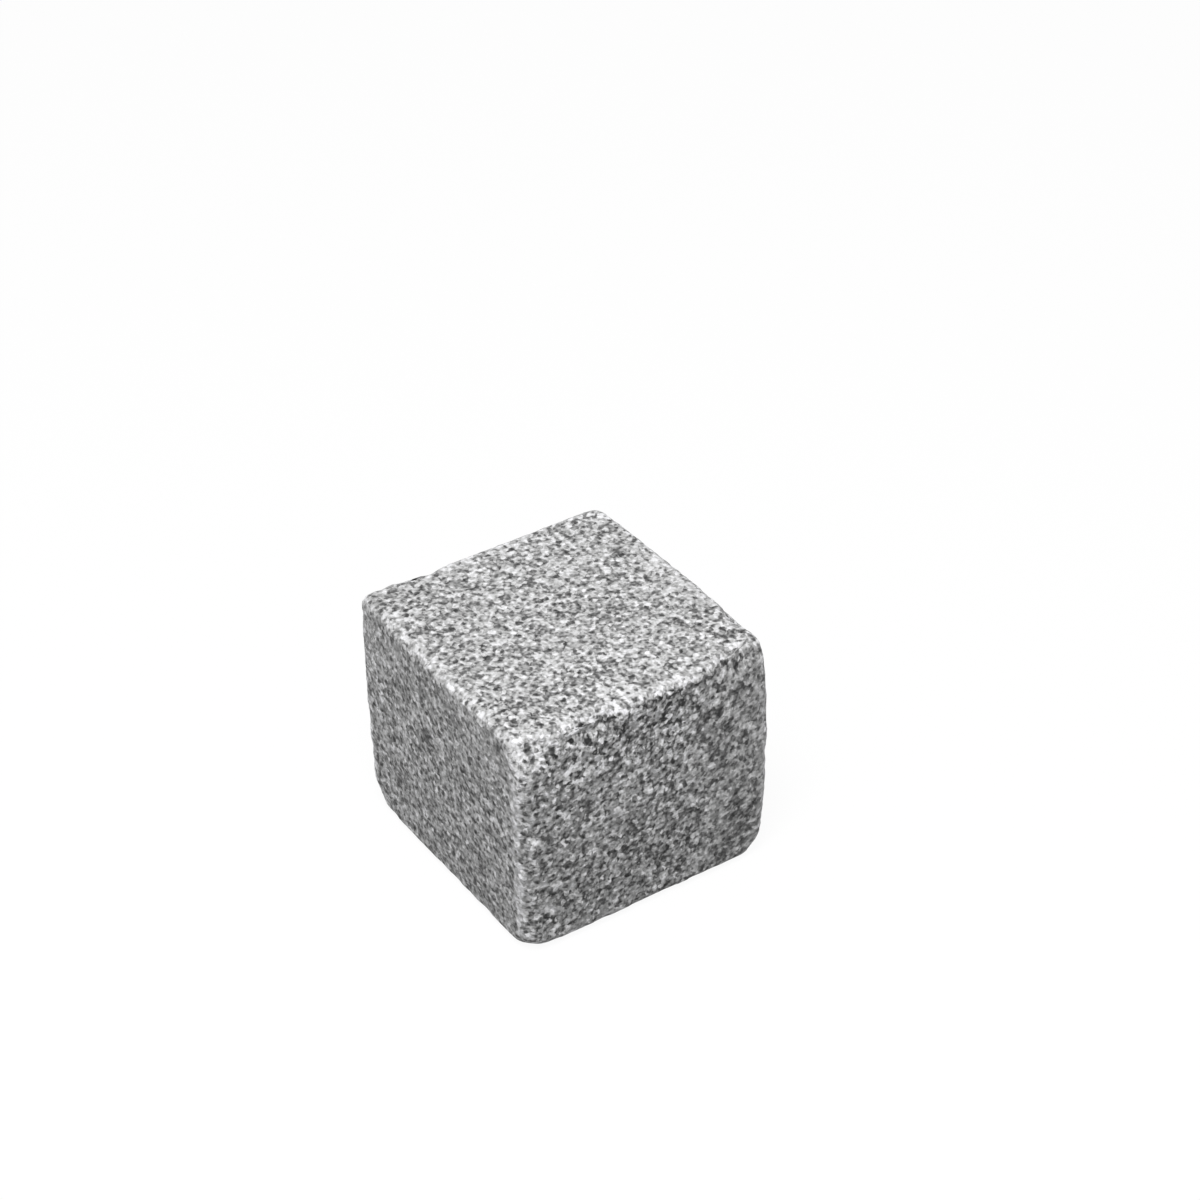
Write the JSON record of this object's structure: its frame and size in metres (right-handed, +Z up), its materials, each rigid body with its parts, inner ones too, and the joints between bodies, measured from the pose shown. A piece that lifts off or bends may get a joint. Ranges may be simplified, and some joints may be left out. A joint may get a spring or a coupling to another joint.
{
  "type": "granite sett",
  "caption": "Cube of split granite paving stone with a flat head, cleft sides, worn arrises and a flat bed.",
  "frame": {"origin": "middle of the bed, under the middle of the stone's box", "axes": "+Z up through the head, -Y out of the front side, +X to the right of the front side"},
  "size_m": [0.1062, 0.1074, 0.0922],
  "materials": {
    "granite": "light grey granite, flamed head and split sides"
  },
  "bodies": {
    "root": {"sett": "granite"}
  },
  "joints": []
}
